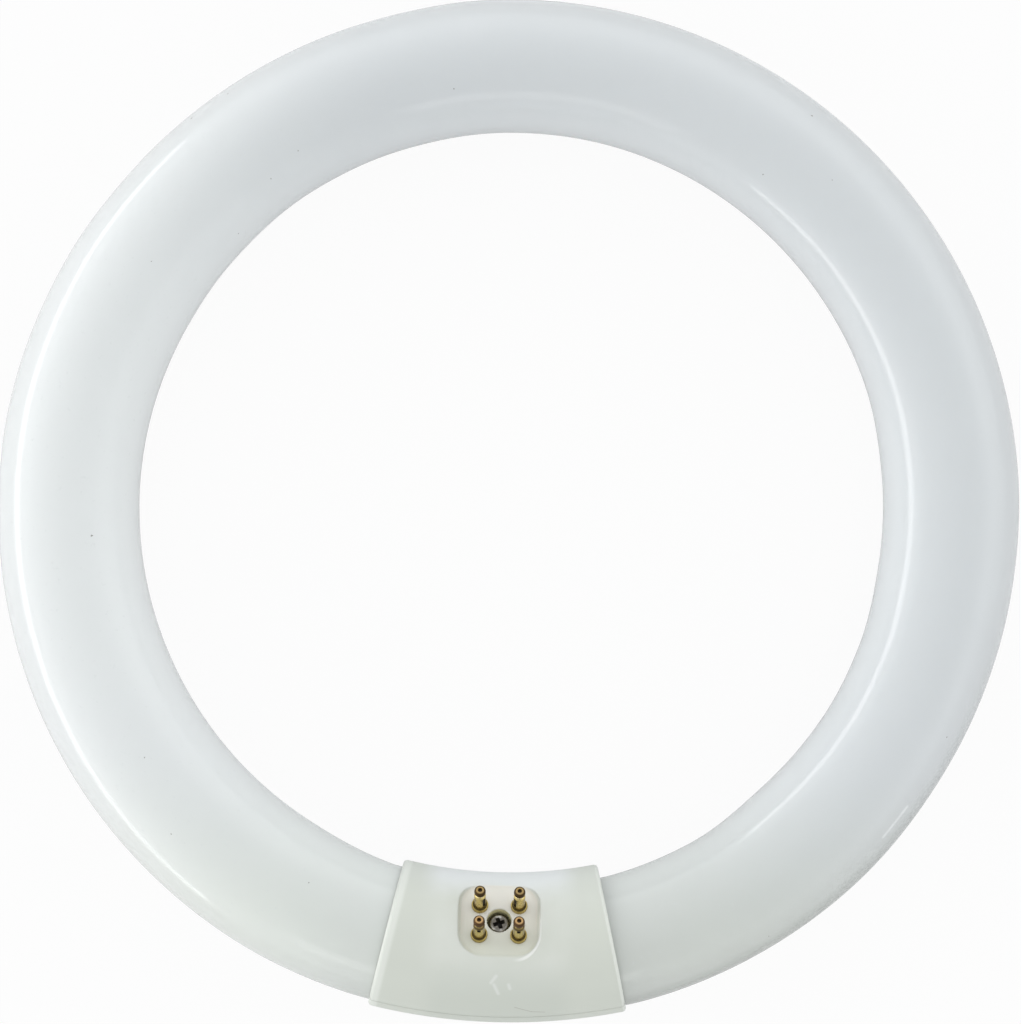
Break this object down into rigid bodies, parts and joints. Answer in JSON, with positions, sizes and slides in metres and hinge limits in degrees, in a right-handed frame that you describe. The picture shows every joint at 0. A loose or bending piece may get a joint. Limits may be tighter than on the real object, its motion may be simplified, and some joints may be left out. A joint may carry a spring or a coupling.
{
  "type": "circular fluorescent tube",
  "caption": "White ring-shaped fluorescent tube, closed by a moulded base with a square pocket and leaning brass contact pins.",
  "frame": {"origin": "on the ring's axis, level with the lowest point of the base", "axes": "+Z along the ring's axis, on the side of the pins, with the ring lying flat; -Y from the axis to the middle of the base; +X along the tube through the base"},
  "size_m": [0.21, 0.2105, 0.0343],
  "materials": {
    "coated_glass": "clear gloss glass over a matt white coat",
    "base_plastic": "satin moulded plastic",
    "pin_brass": "dulled bare brass",
    "screw_steel": "plated steel",
    "lead_wire": "bare wire"
  },
  "bodies": {
    "root": {"glass_tube": "coated_glass", "base_front": "base_plastic", "base_back": "base_plastic", "base_screw": "screw_steel", "contact_pin_inner_left": "pin_brass", "contact_pin_inner_right": "pin_brass", "contact_pin_outer_left": "pin_brass", "contact_pin_outer_right": "pin_brass", "lead_wire_inner_left": "lead_wire", "lead_wire_inner_right": "lead_wire", "lead_wire_outer_left": "lead_wire", "lead_wire_outer_right": "lead_wire"}
  },
  "joints": []
}
